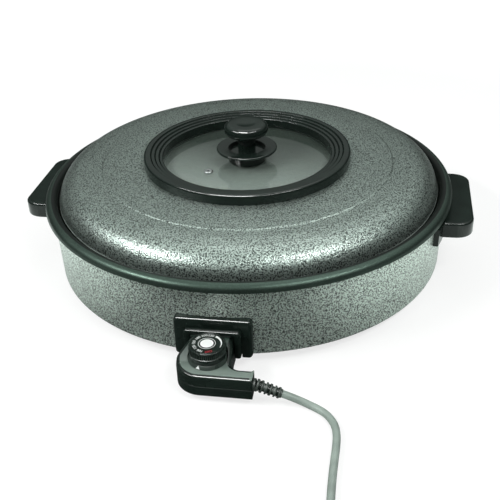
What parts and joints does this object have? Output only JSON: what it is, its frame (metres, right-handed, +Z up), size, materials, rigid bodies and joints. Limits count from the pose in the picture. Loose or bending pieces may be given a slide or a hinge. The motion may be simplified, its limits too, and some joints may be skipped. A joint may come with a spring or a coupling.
{
  "type": "electric skillet",
  "caption": "Round electric skillet with a double-walled pan, side handles, a lift-off domed lid with a glass window and knob, and a pull-out thermostat control on a mains cord.",
  "frame": {"origin": "centre of the base plate's flat underside, 9 mm over the surface that the feet stand on", "axes": "+Z up along the pan's axis, -Y towards the control socket, +X and -X towards the side handles"},
  "size_m": [0.46, 0.7013, 0.1476],
  "materials": {
    "coated_pan": "dark satin non-stick coating",
    "hammertone_wall": "grey-green hammertone paint",
    "hammertone_lid": "grey-green hammertone paint",
    "steel_sheet": "plain",
    "rubber": "matt",
    "element_sheath": "heat-darkened",
    "brass": "plain",
    "ceramic": "unglazed heat-proof moulding",
    "black_gloss_plastic": "glossy phenolic moulding",
    "black_matt_plastic": "satin phenolic moulding",
    "silicone": "matt silicone",
    "window_glass": "clear tempered, slightly green",
    "relief_plastic": "flexible dark plastic",
    "grey_cord": "smooth light grey sheath",
    "printed_white": "printed disc"
  },
  "bodies": {
    "base": {"cooking_pan": "coated_pan", "outer_shell": "hammertone_wall", "base_plate": "steel_sheet", "heat_shield": "steel_sheet", "base_stud_1": "steel_sheet", "base_stud_2": "steel_sheet", "base_stud_3": "steel_sheet", "base_stud_4": "steel_sheet", "element_clamp_1": "steel_sheet", "element_clamp_2": "steel_sheet", "element_clamp_3": "steel_sheet", "socket_screw_left": "steel_sheet", "socket_screw_right": "steel_sheet", "foot_1": "rubber", "foot_2": "rubber", "foot_3": "rubber", "foot_4": "rubber", "heating_element": "element_sheath", "terminal_pin_left": "brass", "terminal_pin_right": "brass", "probe_sleeve": "brass", "earth_strap": "brass", "terminal_plate": "ceramic", "socket_frame": "black_gloss_plastic", "socket_shroud": "black_gloss_plastic", "handle_bracket_left": "black_gloss_plastic", "handle_bracket_right": "black_gloss_plastic", "handle_left": "black_matt_plastic", "handle_right": "black_matt_plastic"},
    "lid": {"lid_shell": "hammertone_lid", "window_ring": "black_gloss_plastic", "knob": "black_gloss_plastic", "knob_base": "black_gloss_plastic", "window_gasket": "silicone", "knob_washer": "silicone", "window_glass": "window_glass", "window_clamp_ring": "steel_sheet", "steam_vent": "steel_sheet", "knob_screw": "steel_sheet"},
    "control": {"control_upper": "black_gloss_plastic", "control_lower": "black_gloss_plastic", "dial_collar": "black_gloss_plastic", "housing_screw_1": "steel_sheet", "housing_screw_2": "steel_sheet", "probe_rod": "steel_sheet", "receptacle_left": "brass", "receptacle_right": "brass", "thermostat_switch": "ceramic", "terminal_block": "ceramic", "strain_relief": "relief_plastic", "mains_cord": "grey_cord", "cord_coil": "grey_cord", "plug_tail": "grey_cord", "cord_tie": "rubber", "mains_plug": "black_matt_plastic"},
    "dial": {"dial": "black_gloss_plastic", "dial_cap": "printed_white", "dial_spindle": "steel_sheet"}
  },
  "joints": [
    {"name": "lid_lift", "type": "slide", "parent": "base", "child": "lid", "axis": [0, 0, 1], "range_m": [0, 0.2]},
    {"name": "control_pull", "type": "slide", "parent": "base", "child": "control", "axis": [0, -1, 0], "range_m": [0, 0.12]},
    {"name": "dial_turn", "type": "hinge", "parent": "control", "child": "dial", "pos_m": [0, -0.229, 0.0275], "axis": [0, 0, 1], "range_deg": [0, 270]}
  ]
}
